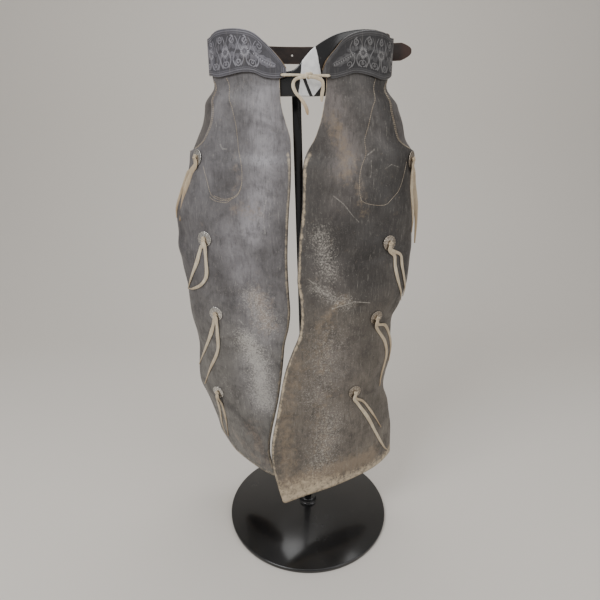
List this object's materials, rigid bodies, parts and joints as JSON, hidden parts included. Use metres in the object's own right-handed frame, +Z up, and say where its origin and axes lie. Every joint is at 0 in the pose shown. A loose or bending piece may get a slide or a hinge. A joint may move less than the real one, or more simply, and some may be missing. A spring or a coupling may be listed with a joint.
{
  "type": "leather chaps on a display stand",
  "caption": "Long leather riding chaps with a laced front, tooled waist yokes, a rear belt and tied conchos down each side, hung on a post stand with a round base.",
  "frame": {"origin": "middle of the base's underside, on the floor", "axes": "+Z up along the stand, the garment's front faces -Y, the wearer's left is +X"},
  "size_m": [0.5562, 0.432, 1.1885],
  "materials": {
    "leg_leather": "worn, waxy, scuffed",
    "yoke_leather": "tooled, burnished",
    "strap_leather": "oiled",
    "thong_leather": "matte, unfinished",
    "concho_metal": "tarnished nickel",
    "buckle_metal": "worn",
    "stand_paint": "gloss black"
  },
  "bodies": {
    "root": {"leg_front_right": "leg_leather", "leg_back_right": "leg_leather", "yoke_right": "yoke_leather", "leg_front_left": "leg_leather", "leg_back_left": "leg_leather", "yoke_left": "yoke_leather", "belt_strap": "strap_leather", "buckle_strap": "strap_leather", "buckle_frame": "buckle_metal", "buckle_tongue": "buckle_metal", "front_lace": "thong_leather", "concho_right_1": "concho_metal", "tie_right_1": "thong_leather", "concho_right_2": "concho_metal", "tie_right_2": "thong_leather", "concho_right_3": "concho_metal", "tie_right_3": "thong_leather", "concho_right_4": "concho_metal", "tie_right_4": "thong_leather", "concho_left_1": "concho_metal", "tie_left_1": "thong_leather", "concho_left_2": "concho_metal", "tie_left_2": "thong_leather", "concho_left_3": "concho_metal", "tie_left_3": "thong_leather", "concho_left_4": "concho_metal", "tie_left_4": "thong_leather", "stand_base": "stand_paint", "stand_post": "stand_paint", "stand_crossbar": "stand_paint", "stand_hip_form": "stand_paint"}
  },
  "joints": []
}
